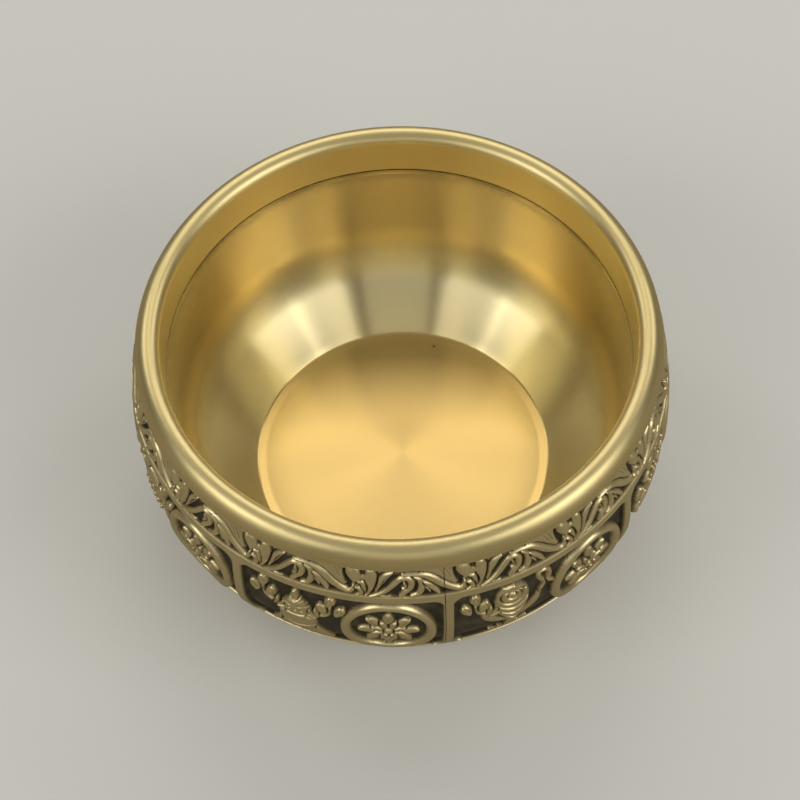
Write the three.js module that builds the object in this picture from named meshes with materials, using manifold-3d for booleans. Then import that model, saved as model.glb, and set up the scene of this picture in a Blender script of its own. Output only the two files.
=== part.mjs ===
// A double-walled brass bowl with a relief belly, in millimetres, +Z up, standing on z = 0.
// The front of the bowl faces -Y, and angles round it run from the front towards +X.
import * as THREE from 'three';
import { mergeVertices } from 'three/addons/utils/BufferGeometryUtils.js';
import Module from 'manifold-3d';

const wasm = await Module();
wasm.setup();

// Rim ring: a turned lip over a straight inner band, with a skirt that enters the shells.
const bowlHeight = 80;
const mouthRadius = 68.2;
const lipRadius = 3.1;
const shoulderDrop = 6.1;
const innerBandHeight = 14.1;
const innerBandTaper = 0.4;
const skirtWall = 3.6;

// Relief shells: two cast halves with raised rails and ribs and sunk grounds.
const bellySwell = 3.9;
const bellyHeight = 42.95;
const groundWall = 2;
const panelDepth = 2;
const bandDepth = 1.5;
const bandTopDepth = 0.8;
const topBorder = 0.7;
const railWidth = 2.6;
const panelHeight = 33.1;
const lowerRailWidth = 2.8;
const draft = 0.5;
const flangeWidth = 8.7;
const flangeThickness = 2.2;
const seamAngle = 7.4;
const seamGap = 0.3;

// How far an ornament's foot is sunk into the ground below it, so that the two join.
const rooting = 0.6;

// Bays: a rib, a raised sign and a medallion each.
const bayCount = 8;
const firstRibAngle = 8.1;
const ribWidth = 2.6;
const ribDrop = 0.1;
const cornerRadius = 3.5;
const signOffset = 18.75;
const signLift = -0.1;
const sprigLift = -0.5;
const medallionWidth = 27;
const medallionMargin = 1.5;
const medallionSideMargin = 2.3;
const medallionRingWidth = 3;
const medallionRingLift = 0.2;
const petalCount = 4;
const flowerRadius = 8.4;
const flowerLift = -0.15;

// Scroll band: its leafy scroll repeats round the bowl.
const scrollCount = 16;
const scrollAngle = -9.9;

// Liner: the turned inner bowl, with a leaning wall, a round knee, a cone and a flat floor.
const linerWall = 2.2;
const wallLean = 2;
const kneeRadius = 28;
const coneLean = 45;
const floorRadius = 46;
const floorThickness = 2.5;
const floorFillet = 0.5;

// Foot ring and base plate.
const footHeight = 6;
const footBandHeight = 2.4;
const footWall = 5;
const seatStep = 1;
const spigotHeight = 1.5;
const spigotWall = 1.2;
const ledgeHeight = 3.5;
const ledgeWidth = 3.5;
const plateThickness = 1.5;

// Clearances between pieces.
const fitClearance = 0.3;
const linerClearance = 1.5;

// Facets of every turned piece.
const facets = 48;

// Sizes that follow from the ones above.
const bayAngle = 360 / bayCount;
const shoulderHeight = bowlHeight - shoulderDrop;
const skirtRadius = mouthRadius - innerBandTaper;
const skirtOuterRadius = skirtRadius + skirtWall;
const shellTopInner = skirtOuterRadius + fitClearance;
const shoulderRadius = shellTopInner + groundWall + panelDepth;
const bellyRadius = shoulderRadius + bellySwell;
const creaseHeight = bowlHeight - innerBandHeight;
const linerTop = creaseHeight - fitClearance;
const linerBottom = ledgeHeight + plateThickness;
const floorHeight = linerBottom + floorThickness;
const knee = kneeCentre();
const spigotTop = footHeight + spigotHeight;
const boreRadius = linerRadius(spigotTop, linerWall) + linerClearance;
const spigotRadius = boreRadius + spigotWall;
const flangeHole = spigotRadius + fitClearance;
const lowerRadius = flangeHole + flangeWidth;
const panelTop = bellyHeight + panelHeight / 2;
const railTop = panelTop + railWidth;
const panelBottom = bellyHeight - panelHeight / 2;
const lowerRailBottom = panelBottom - lowerRailWidth;

// Finishes.
const rimBrass = new THREE.MeshStandardMaterial({ color: 0xd9bf7a, roughness: 0.32, metalness: 1 });
const linerBrass = new THREE.MeshStandardMaterial({ color: 0xd8b564, roughness: 0.36, metalness: 1 });
const reliefBrass = new THREE.MeshStandardMaterial({ color: 0x9c8650, roughness: 0.48, metalness: 1 });
const footBrass = new THREE.MeshStandardMaterial({ color: 0x8f7b4a, roughness: 0.45, metalness: 1 });

// The knee's centre lies one knee radius in from both the wall's line and the cone's line.
function kneeCentre() {
  const lines = [
    [skirtRadius, linerTop, wallLean],
    [floorRadius, floorHeight, coneLean],
  ];
  const [wall, cone] = lines.map(([radius, height, lean]) => {
    const turn = THREE.MathUtils.degToRad(lean);
    const normal = new THREE.Vector2(-Math.cos(turn), Math.sin(turn));
    return { normal, reach: kneeRadius + normal.x * radius + normal.y * height };
  });
  const cross = wall.normal.cross(cone.normal);
  return new THREE.Vector2(
    (wall.reach * cone.normal.y - cone.reach * wall.normal.y) / cross,
    (wall.normal.x * cone.reach - cone.normal.x * wall.reach) / cross,
  );
}

// The liner's radius at a height, for a surface that lies offset outside its inner one.
function linerRadius(height, offset) {
  const reach = kneeRadius + offset;
  const drop = knee.y - height;
  const [top, foot] = [wallLean, coneLean].map((lean) => {
    const turn = THREE.MathUtils.degToRad(lean);
    return { radius: knee.x + reach * Math.cos(turn), drop: reach * Math.sin(turn), slope: Math.tan(turn) };
  });
  if (drop < top.drop) {
    return top.radius + (top.drop - drop) * top.slope;
  }
  if (drop > foot.drop) {
    return foot.radius - (drop - foot.drop) * foot.slope;
  }
  return knee.x + Math.sqrt(reach * reach - drop * drop);
}

// The belly is one parabola above its widest ring, the panels' middle, and another below it.
function bellySurface(height) {
  if (height > bellyHeight) {
    const share = (height - bellyHeight) / (shoulderHeight - bellyHeight);
    return bellyRadius - bellySwell * share * share;
  }
  const share = (bellyHeight - height) / (bellyHeight - footHeight);
  return bellyRadius - (bellyRadius - lowerRadius) * share * share;
}

function shellInside(height) {
  return bellySurface(height) - panelDepth - groundWall;
}

// Evenly spaced values from first to last, both included.
function steps(first, last, count) {
  return Array.from({ length: count + 1 }, (_, i) => first + ((last - first) * i) / count);
}

// An elliptical arc in the profile plane, with angles in degrees.
function arc(centre, radii, from, to, count) {
  return steps(from, to, count).map((angle) => {
    const turn = THREE.MathUtils.degToRad(angle);
    return new THREE.Vector2(centre[0] + radii[0] * Math.cos(turn), centre[1] + radii[1] * Math.sin(turn));
  });
}

// A closed body from a profile of [radius, height] points, outside going up and inside coming down.
function turned(profile, closed) {
  const points = closed ? [...profile, profile[0]] : profile;
  const geometry = new THREE.LatheGeometry(points, facets);
  geometry.rotateX(Math.PI / 2);
  return bare(geometry);
}

// Only merged positions are left, as a solid needs them.
function bare(geometry) {
  geometry.deleteAttribute('normal');
  geometry.deleteAttribute('uv');
  return mergeVertices(geometry);
}

function toSolid(geometry) {
  return new wasm.Manifold(
    new wasm.Mesh({
      numProp: 3,
      vertProperties: new Float32Array(geometry.attributes.position.array),
      triVerts: new Uint32Array(geometry.index.array),
    }),
  );
}

function toGeometry(solid) {
  const mesh = solid.getMesh();
  const geometry = new THREE.BufferGeometry();
  geometry.setAttribute('position', new THREE.BufferAttribute(mesh.vertProperties, 3));
  geometry.setIndex(new THREE.BufferAttribute(mesh.triVerts, 1));
  return geometry;
}

// Skins a row of rings, each with the same number of points. A looped row closes on itself,
// and any other row gets a cap at each end.
function loft(rings, looped) {
  const size = rings[0].length;
  const last = looped ? rings.length : rings.length - 1;
  const index = [];
  for (let i = 0; i < last; i += 1) {
    const here = i * size;
    const next = ((i + 1) % rings.length) * size;
    for (let j = 0; j < size; j += 1) {
      const k = (j + 1) % size;
      index.push(here + j, next + j, next + k, here + j, next + k, here + k);
    }
  }
  if (!looped) {
    const end = (rings.length - 1) * size;
    for (let j = 1; j < size - 1; j += 1) {
      index.push(0, j, j + 1);
      index.push(end, end + j + 1, end + j);
    }
  }
  const geometry = new THREE.BufferGeometry().setFromPoints(rings.flat());
  geometry.setIndex(index);
  return geometry;
}

// A point on the belly: an angle in degrees, a height, and a lift out of the high surface.
function onBelly(angle, height, lift) {
  const radius = bellySurface(height) + lift;
  const turn = THREE.MathUtils.degToRad(angle);
  return new THREE.Vector3(radius * Math.sin(turn), -radius * Math.cos(turn), height);
}

function alongBelly(length, height) {
  return THREE.MathUtils.radToDeg(length / bellySurface(height));
}

// Rim ring
function rimRing() {
  const lipCentre = [mouthRadius + lipRadius, bowlHeight - lipRadius];
  const shoulderCentre = [lipCentre[0], shoulderHeight];
  const shoulderRadii = [shoulderRadius - lipCentre[0], shoulderDrop];
  const profile = [
    new THREE.Vector2(skirtRadius, creaseHeight),
    new THREE.Vector2(skirtOuterRadius, creaseHeight),
    new THREE.Vector2(skirtOuterRadius, shoulderHeight),
    ...arc(shoulderCentre, shoulderRadii, 0, 90, 5),
    ...arc(lipCentre, [lipRadius, lipRadius], 90, 180, 4).slice(1),
  ];
  return turned(profile, true);
}

// Liner
function innerBowl() {
  const wall = (heights, offset) =>
    heights.map((height) => new THREE.Vector2(linerRadius(height, offset), height));
  const kneeHeight = knee.y - kneeRadius * Math.sin(THREE.MathUtils.degToRad(coneLean));
  const inside = [
    ...wall([linerTop], 0),
    ...wall(steps(knee.y, kneeHeight, 5), 0),
    ...wall([floorHeight + floorFillet], 0),
  ];
  const floorEnd = new THREE.Vector2(floorRadius - floorFillet, floorHeight);
  const corner = new THREE.Vector2(floorRadius, floorHeight);
  const fillet = new THREE.QuadraticBezierCurve(inside[inside.length - 1], corner, floorEnd).getPoints(2).slice(1);
  const outside = wall([linerBottom, ...steps(kneeHeight, knee.y, 4), linerTop], linerWall);
  const profile = [
    new THREE.Vector2(0, linerBottom),
    ...outside,
    ...inside,
    ...fillet,
    new THREE.Vector2(0, floorHeight),
  ];
  return turned(profile, false);
}

// Relief shells
function shellWall() {
  const level = (height, depth) => new THREE.Vector2(bellySurface(height) - depth, height);
  const lowerZone = steps(footHeight, lowerRailBottom, 3).map((height) => level(height, 0));
  const panelGround = steps(panelBottom + draft, panelTop - draft, 4);
  const insideHeights = steps(shoulderHeight, footHeight + flangeThickness, 3);
  const profile = [
    new THREE.Vector2(flangeHole, footHeight),
    ...lowerZone,
    level(panelBottom, 0),
    ...panelGround.map((height) => level(height, panelDepth)),
    level(panelTop, 0),
    level(railTop, 0),
    level(railTop + draft, bandDepth),
    level(shoulderHeight - topBorder - draft, bandTopDepth),
    level(shoulderHeight - topBorder, 0),
    level(shoulderHeight, 0),
    ...insideHeights.map((height) => new THREE.Vector2(shellInside(height), height)),
    new THREE.Vector2(flangeHole, footHeight + flangeThickness),
  ];
  return toSolid(turned(profile, true));
}

// A rib widens into both rails with the round corners of the panels beside it.
function rib(angle) {
  const reach = railWidth / 2;
  const flare = [0, cornerRadius / 3, cornerRadius];
  const heights = [
    panelTop + reach,
    ...flare.map((drop) => panelTop - drop),
    ...flare.map((rise) => panelBottom + rise).reverse(),
    panelBottom - reach,
  ];
  heights.splice(1 + flare.length, 0, bellyHeight);
  const rings = heights.map((height) => {
    const edge = Math.max(0, Math.min(panelTop - height, height - panelBottom, cornerRadius));
    const miss = cornerRadius - edge;
    const halfWidth = ribWidth / 2 + cornerRadius - Math.sqrt(cornerRadius * cornerRadius - miss * miss);
    const side = alongBelly(halfWidth, height);
    const foot = alongBelly(halfWidth + draft, height);
    return [
      onBelly(angle - foot, height, -panelDepth - rooting),
      onBelly(angle - side, height, -ribDrop),
      onBelly(angle + side, height, -ribDrop),
      onBelly(angle + foot, height, -panelDepth - rooting),
    ];
  });
  return toSolid(loft(rings, false));
}

// The medallion's raised ring, a round-topped band along an upright oval.
const medallionHeight = panelHeight - 2 * medallionMargin;

function medallionAngle() {
  const half = alongBelly(medallionWidth / 2, bellyHeight);
  const clear = alongBelly(ribWidth / 2 + medallionSideMargin, bellyHeight);
  return bayAngle - clear - half;
}

function medallionRing(angle) {
  const stations = 16;
  const section = [
    [-medallionRingWidth / 2, -panelDepth - rooting],
    [-medallionRingWidth / 4, medallionRingLift],
    [medallionRingWidth / 4, medallionRingLift],
    [medallionRingWidth / 2, -panelDepth - rooting],
  ];
  const halfWidth = (medallionWidth - medallionRingWidth) / 2;
  const halfHeight = (medallionHeight - medallionRingWidth) / 2;
  const rings = steps(0, 360, stations)
    .slice(0, -1)
    .map((turnAngle) => {
      const turn = THREE.MathUtils.degToRad(turnAngle);
      return section.map(([offset, lift]) => {
        const across = (halfWidth + offset) * Math.sin(turn);
        const up = (halfHeight + offset) * Math.cos(turn);
        const height = bellyHeight + up;
        return onBelly(angle + alongBelly(across, bellyHeight), height, lift);
      });
    });
  return toSolid(loft(rings, true));
}

// A ridge has a sharp crest between two sloping flanks. Each of its stations is a place across
// and up, and half its width at the foot. Where they lie on the bowl is for place to say.
function ridge(stations, place, crest, foot) {
  const rings = stations.map(([across, up, half], i) => {
    const before = stations[Math.max(i - 1, 0)];
    const after = stations[Math.min(i + 1, stations.length - 1)];
    const way = new THREE.Vector2(after[0] - before[0], after[1] - before[1]).normalize();
    return [
      place(across + way.y * half, up - way.x * half, foot),
      place(across, up, crest),
      place(across - way.y * half, up + way.x * half, foot),
    ];
  });
  return toSolid(loft(rings, false));
}

// A form that is even from side to side, from its top to its foot: half its width at heights
// over the panel's lower edge.
function form(angle, profile, crest) {
  const rings = profile.map(([up, half]) => {
    const height = panelBottom + Math.min(up, panelHeight);
    const side = alongBelly(half, height);
    return [
      onBelly(angle - side, height, -panelDepth - rooting),
      onBelly(angle - side / 2, height, crest),
      onBelly(angle + side / 2, height, crest),
      onBelly(angle + side, height, -panelDepth - rooting),
    ];
  });
  return toSolid(loft(rings, false));
}

// The signs' main masses from bay to bay, as [height over the panel's lower edge, half width].
const conch = [[30.4, 1.2], [19.4, 6], [9, 1.7], [1, 6.2]];
const endlessKnot = [[29.6, 0.8], [17, 11.6], [3, 0.8]];
const fishes = [[29.6, 4.6], [24, 7.6], [10, 2.4], [4, 6.4]];
const vase = [[30.6, 1], [15, 7.4], [5.6, 2.8], [1.2, 6.6]];
const lotus = [[30.2, 1], [21, 8.6], [10, 1.2], [3, 5.6]];
const wheel = [[28.4, 1.8], [22, 9.4], [12.8, 9.4], [6.4, 1.8], [1, 6.6]];
const banner = [[31.8, 0.8], [25, 6.8], [1.8, 6.4]];
const parasol = [[32, 0.8], [26, 3.4], [12, 9.8], [2, 8.4]];
const signs = [conch, endlessKnot, fishes, vase, lotus, wheel, banner, parasol];

// A sprig or a ribbon loop beside a sign, as [across, up, half width].
const sprig = [[8, 20, 1.4], [11.8, 28, 2.4]];

function signAndSprigs(angle, profile) {
  const place = (across, up, lift) => {
    const height = panelBottom + Math.min(up, panelHeight);
    return onBelly(angle + alongBelly(across, bellyHeight), height, lift);
  };
  const sprigs = [-1, 1].map((side) => {
    const stations = sprig.map(([across, up, half]) => [side * across, up, half]);
    return ridge(stations, place, sprigLift, -panelDepth - rooting);
  });
  return wasm.Manifold.union([form(angle, profile, signLift), ...sprigs]);
}

// The plain flower that fills a medallion: a low cone with a notched edge.
function flower(angle) {
  const points = steps(0, 2 * petalCount, 2 * petalCount)
    .slice(0, -1)
    .map((k) => {
      const turn = (Math.PI * k) / petalCount;
      const reach = k % 2 ? flowerRadius / 2 : flowerRadius;
      const across = alongBelly(reach * Math.sin(turn), bellyHeight);
      return onBelly(angle + across, bellyHeight + reach * Math.cos(turn), -panelDepth - rooting / 2);
    });
  const top = onBelly(angle, bellyHeight, flowerLift);
  const under = onBelly(angle, bellyHeight, -panelDepth - rooting);
  const index = points.flatMap((_, k) => {
    const next = (k + 1) % points.length;
    return [points.length, next, k, points.length + 1, k, next];
  });
  const geometry = new THREE.BufferGeometry().setFromPoints([...points, top, under]);
  geometry.setIndex(index);
  return toSolid(geometry);
}

// The main strokes of one scroll, each with the lift of its crest and its stations: the share of a
// repeat from the pinwheel flower, the share of the band's height, and half the width in mm.
const scrollStrokes = [
  {
    crest: 0.2,
    shares: [[-0.54, 0.86, 1.2], [-0.36, 0.74, 2], [-0.19, 0.29, 2], [-0.083, 0.13, 1.4], [-0.04, 0.33, 0.5]],
  },
  { crest: 0.05, shares: [[0.09, 0.05, 0.6], [0.25, 0.2, 1.2], [0.4, 0.74, 1.1]] },
  { crest: 0.05, shares: [[0.41, 0.76, 0.8], [0.478, 0.48, 1.3], [0.41, 0.06, 0.6]] },
  { crest: 0, shares: [[0.46, 0.74, 0.5], [0.582, 0.42, 1.2], [0.55, 0.05, 0.5]] },
  { crest: 0.1, shares: [[0.09, 0.86, 1.7], [0.125, 0.56, 1.5], [0.08, 0.2, 0.5]] },
  { crest: 0.05, shares: [[-0.07, 0.82, 0.9], [-0.035, 0.56, 1.4], [0.01, 0.84, 1.2]] },
];

function scroll(repeat) {
  const repeatAngle = 360 / scrollCount;
  const bandHeight = shoulderHeight - railTop;
  const repeatLength = THREE.MathUtils.degToRad(repeatAngle) * bellySurface(railTop);
  const place = (across, up, lift) => {
    const angle = scrollAngle + repeatAngle * (repeat + across / repeatLength);
    const height = railTop + THREE.MathUtils.clamp(up, 0, bandHeight - topBorder / 2);
    return onBelly(angle, height, lift);
  };
  return scrollStrokes.map(({ crest, shares }) => {
    const stations = shares.map(([across, up, half]) => [across * repeatLength, up * bandHeight, half]);
    return ridge(stations, place, crest, -bandDepth - rooting);
  });
}

function reliefRing() {
  const parts = [shellWall()];
  signs.forEach((sign, bay) => {
    const ribAngle = firstRibAngle + bay * bayAngle;
    const medallion = ribAngle + medallionAngle();
    parts.push(rib(ribAngle));
    parts.push(signAndSprigs(ribAngle + alongBelly(signOffset, bellyHeight), sign));
    parts.push(medallionRing(medallion));
    parts.push(flower(medallion));
  });
  for (let repeat = 0; repeat < scrollCount; repeat += 1) {
    parts.push(...scroll(repeat));
  }
  return wasm.Manifold.union(parts);
}

// One side of the seam plane, as a block that stops half a seam gap short of it.
function sideOfSeam(side) {
  const span = 4 * bellyRadius;
  const block = new THREE.BoxGeometry(span, span, span);
  block.translate(side * (span / 2 + seamGap / 2), 0, 0);
  block.rotateZ(THREE.MathUtils.degToRad(seamAngle));
  return toSolid(bare(block));
}

// Foot ring
function footRing() {
  const footRadius = boreRadius + footWall;
  const seatRadius = lowerRadius - seatStep;
  const coveRadii = [seatRadius - footRadius, footHeight - footBandHeight];
  const profile = [
    new THREE.Vector2(boreRadius - ledgeWidth, 0),
    new THREE.Vector2(footRadius, 0),
    ...arc([seatRadius, footBandHeight], coveRadii, 180, 90, 3),
    new THREE.Vector2(spigotRadius, footHeight),
    new THREE.Vector2(spigotRadius, spigotTop),
    new THREE.Vector2(boreRadius, spigotTop),
    new THREE.Vector2(boreRadius, ledgeHeight),
    new THREE.Vector2(boreRadius - ledgeWidth, ledgeHeight),
  ];
  return turned(profile, true);
}

// Base plate
function basePlate() {
  const plateRadius = boreRadius - fitClearance;
  const profile = [
    new THREE.Vector2(0, ledgeHeight),
    new THREE.Vector2(plateRadius, ledgeHeight),
    new THREE.Vector2(plateRadius, linerBottom),
    new THREE.Vector2(0, linerBottom),
  ];
  return turned(profile, false);
}

// Assembly
const bowl = new THREE.Group();

function addPiece(name, geometry, material) {
  const mesh = new THREE.Mesh(geometry, material);
  mesh.name = name;
  bowl.add(mesh);
}

const relief = reliefRing();
addPiece('rim_ring', rimRing(), rimBrass);
addPiece('inner_bowl', innerBowl(), linerBrass);
addPiece('relief_shell_right', toGeometry(relief.intersect(sideOfSeam(1))), reliefBrass);
addPiece('relief_shell_left', toGeometry(relief.intersect(sideOfSeam(-1))), reliefBrass);
addPiece('foot_ring', footRing(), footBrass);
addPiece('base_plate', basePlate(), footBrass);

export default bowl;
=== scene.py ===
import math

import bmesh
import bpy
import numpy as np
from mathutils import Matrix, Vector


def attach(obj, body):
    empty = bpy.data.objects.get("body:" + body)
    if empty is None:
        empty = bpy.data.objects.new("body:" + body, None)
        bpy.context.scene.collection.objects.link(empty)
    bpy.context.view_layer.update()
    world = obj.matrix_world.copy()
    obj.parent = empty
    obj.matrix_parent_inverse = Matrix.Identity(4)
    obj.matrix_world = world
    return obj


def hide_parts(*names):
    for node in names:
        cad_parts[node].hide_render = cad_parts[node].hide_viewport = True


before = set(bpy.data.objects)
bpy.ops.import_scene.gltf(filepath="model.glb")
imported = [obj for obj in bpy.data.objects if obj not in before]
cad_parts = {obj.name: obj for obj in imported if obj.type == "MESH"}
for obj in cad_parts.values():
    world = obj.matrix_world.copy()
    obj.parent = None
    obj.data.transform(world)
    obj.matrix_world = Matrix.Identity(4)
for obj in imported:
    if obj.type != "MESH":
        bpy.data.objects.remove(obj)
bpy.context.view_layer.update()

# Rim: a cast and turned ring. A round lip tops a straight inner band, and a quarter-round
# shoulder comes down to the relief. Satin brass, brushed round the bowl, soldered to both
# the liner under its band and the relief shells under its shoulder.
MM = 0.001
BOWL_HEIGHT = 80.0
MOUTH_RADIUS = 68.2
LIP_RADIUS = 3.1
SHOULDER_HEIGHT = 73.9
SHOULDER_RADIUS = 75.7
CREASE_HEIGHT = 65.9
BAND_FOOT_RADIUS = 67.8
SKIRT_RADIUS = 71.4
TURN_STEPS = 320


def arc(centre, radii, start, end, count):
    """Points along an ellipse's arc, from start to end in degrees."""
    turns = np.radians(np.linspace(start, end, count + 1))
    return [(centre[0] + radii[0] * math.cos(t), centre[1] + radii[1] * math.sin(t)) for t in turns]


def turned(name, profile):
    """Spins a closed profile of (radius, height) in mm round the bowl's axis."""
    bm = bmesh.new()
    verts = [bm.verts.new((r * MM, 0, z * MM)) for r, z in profile]
    edges = [bm.edges.new((a, b)) for a, b in zip(verts, verts[1:] + verts[:1])]
    on_axis = [e for e in edges if all(v.co.x < 1e-7 for v in e.verts)]
    for edge in on_axis:
        bm.edges.remove(edge)
    geom = verts + [e for e in edges if e.is_valid]
    bmesh.ops.spin(
        bm, geom=geom, cent=(0, 0, 0), axis=(0, 0, 1), angle=math.tau, steps=TURN_STEPS, use_merge=True
    )
    bmesh.ops.remove_doubles(bm, verts=bm.verts, dist=1e-7)
    bmesh.ops.recalc_face_normals(bm, faces=bm.faces)
    mesh = bpy.data.meshes.new(name)
    bm.to_mesh(mesh)
    bm.free()
    mesh.shade_smooth()
    mesh.set_sharp_from_angle(angle=math.radians(40))
    piece = bpy.data.objects.new(name, mesh)
    bpy.context.scene.collection.objects.link(piece)
    return piece


def finish_piece(piece, node, material):
    """Gives a piece its material, and lets it stand for its CAD node."""
    piece.data.materials.clear()
    piece.data.materials.append(material)
    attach(piece, "root")
    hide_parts(node)


def add(tree, kind, **values):
    """A new shader node with these settings, or these values on its inputs."""
    node = tree.nodes.new(kind)
    for key, value in values.items():
        if hasattr(node, key):
            setattr(node, key, value)
        else:
            node.inputs[key].default_value = value
    return node


def turned_brass(name, pale, deep, roughness, spread, anisotropy, mark):
    """Turned brass: fine rings round the axis, slow colour drift and a little grain. The
    roughness varies by the spread, and mark is the strength of the rings and the grain."""
    material = bpy.data.materials.new(name)
    material.use_nodes = True
    tree = material.node_tree
    link = tree.links.new
    shader = tree.nodes["Principled BSDF"]
    shader.inputs["Metallic"].default_value = 1
    shader.inputs["Anisotropic"].default_value = anisotropy
    shader.inputs["Anisotropic Rotation"].default_value = 0.25
    place = add(tree, "ShaderNodeTexCoord")
    split = add(tree, "ShaderNodeSeparateXYZ")
    link(place.outputs["Object"], split.inputs[0])
    flat = add(tree, "ShaderNodeCombineXYZ")
    link(split.outputs[0], flat.inputs[0])
    link(split.outputs[1], flat.inputs[1])
    radius = add(tree, "ShaderNodeVectorMath", operation="LENGTH")
    link(flat.outputs[0], radius.inputs[0])
    lathe = add(tree, "ShaderNodeCombineXYZ")
    link(radius.outputs["Value"], lathe.inputs[0])
    link(split.outputs[2], lathe.inputs[1])
    rings = add(tree, "ShaderNodeTexNoise", noise_dimensions="2D")
    rings.inputs["Scale"].default_value = 1500
    rings.inputs["Detail"].default_value = 3
    link(lathe.outputs[0], rings.inputs["Vector"])
    grain = add(tree, "ShaderNodeTexNoise")
    grain.inputs["Scale"].default_value = 4000
    grain.inputs["Detail"].default_value = 4
    link(place.outputs["Object"], grain.inputs["Vector"])
    drift = add(tree, "ShaderNodeTexNoise")
    drift.inputs["Scale"].default_value = 22
    drift.inputs["Detail"].default_value = 5
    link(place.outputs["Object"], drift.inputs["Vector"])
    tint = add(tree, "ShaderNodeValToRGB")
    tint.color_ramp.elements[0].position = 0.35
    tint.color_ramp.elements[0].color = (*deep, 1)
    tint.color_ramp.elements[1].position = 0.65
    tint.color_ramp.elements[1].color = (*pale, 1)
    link(drift.outputs["Fac"], tint.inputs[0])
    link(tint.outputs[0], shader.inputs["Base Color"])
    rough = add(tree, "ShaderNodeMapRange")
    rough.inputs["From Min"].default_value = 0.3
    rough.inputs["From Max"].default_value = 0.7
    rough.inputs["To Min"].default_value = roughness - spread
    rough.inputs["To Max"].default_value = roughness + spread
    link(grain.outputs["Fac"], rough.inputs["Value"])
    link(rough.outputs[0], shader.inputs["Roughness"])
    mix = add(tree, "ShaderNodeMix", data_type="FLOAT")
    mix.inputs[0].default_value = 0.35
    link(rings.outputs["Fac"], mix.inputs[2])
    link(grain.outputs["Fac"], mix.inputs[3])
    bump = add(tree, "ShaderNodeBump")
    bump.inputs["Strength"].default_value = mark
    bump.inputs["Distance"].default_value = 0.000012
    link(mix.outputs[0], bump.inputs["Height"])
    link(bump.outputs[0], shader.inputs["Normal"])
    if anisotropy:
        tangent = add(tree, "ShaderNodeTangent", direction_type="RADIAL", axis="Z")
        link(tangent.outputs[0], shader.inputs["Tangent"])
    return material


lip_centre = (MOUTH_RADIUS + LIP_RADIUS, BOWL_HEIGHT - LIP_RADIUS)
shoulder_centre = (lip_centre[0], SHOULDER_HEIGHT)
shoulder_radii = (SHOULDER_RADIUS - lip_centre[0], BOWL_HEIGHT - SHOULDER_HEIGHT)
band_height = BOWL_HEIGHT - LIP_RADIUS - CREASE_HEIGHT
band_lean = MOUTH_RADIUS - BAND_FOOT_RADIUS
rim_profile = [
    (BAND_FOOT_RADIUS, CREASE_HEIGHT),
    (SKIRT_RADIUS, CREASE_HEIGHT),
    (SKIRT_RADIUS, SHOULDER_HEIGHT),
]
rim_profile += arc(shoulder_centre, shoulder_radii, 0, 90, 22)
rim_profile += arc(lip_centre, (LIP_RADIUS, LIP_RADIUS), 90, 180, 16)[1:]
rim_profile += [
    (MOUTH_RADIUS - band_lean * t, BOWL_HEIGHT - LIP_RADIUS - t * band_height) for t in (0.25, 0.5, 0.75)
]
rim = turned("rim", rim_profile)
rim_brass = turned_brass(
    "rim_brass",
    pale=(0.88, 0.75, 0.40),
    deep=(0.83, 0.70, 0.36),
    roughness=0.38,
    spread=0.04,
    anisotropy=0.3,
    mark=0.3,
)
finish_piece(rim, "rim_ring", rim_brass)

# Liner: the smooth inner bowl, turned all over and left with fine rings. A nearly straight
# wall comes down to a round knee, a cone and a flat floor. It is soldered to the rim under
# the straight band, with a fine groove where they meet, and stands on the base plate.
LINER_TOP = 65.45
FLOOR_RADIUS = 46.0
FLOOR_HEIGHT = 7.5
FLOOR_FILLET = 0.5
LINER_WALL = 2.2
LINER_BOTTOM = 5.0
WALL_LEAN = math.radians(2)
CONE_LEAN = math.radians(45)
KNEE_RADIUS = 28.0
BEAD_HEIGHT = 63.7
BEAD = 0.06
FLOOR_RING = 43.4
FLOOR_RING_HALF = 0.4
FLOOR_RING_DEPTH = 0.03


def liner_curve(offset, top, foot, count):
    """The wall from top to foot, moved out by offset: a line, the knee's arc and the cone."""
    lines = ((BAND_FOOT_RADIUS, LINER_TOP, WALL_LEAN), (FLOOR_RADIUS, FLOOR_HEIGHT, CONE_LEAN))
    normals = np.array([(-math.cos(lean), math.sin(lean)) for _, _, lean in lines])
    reach = [KNEE_RADIUS + n @ np.array(line[:2]) for n, line in zip(normals, lines)]
    centre = np.linalg.solve(normals, reach)
    radius = KNEE_RADIUS + offset
    knee = [
        (centre[0] + radius * math.cos(lean), centre[1] - radius * math.sin(lean))
        for lean in np.linspace(WALL_LEAN, CONE_LEAN, count)
    ]
    wall_heights = np.linspace(top, knee[0][1], 6)[:-1]
    wall = [(knee[0][0] + (z - knee[0][1]) * math.tan(WALL_LEAN), z) for z in wall_heights]
    cone_heights = np.linspace(knee[-1][1], foot, 8)[1:]
    cone = [(knee[-1][0] - (knee[-1][1] - z) * math.tan(CONE_LEAN), z) for z in cone_heights]
    return wall + knee + cone


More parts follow.
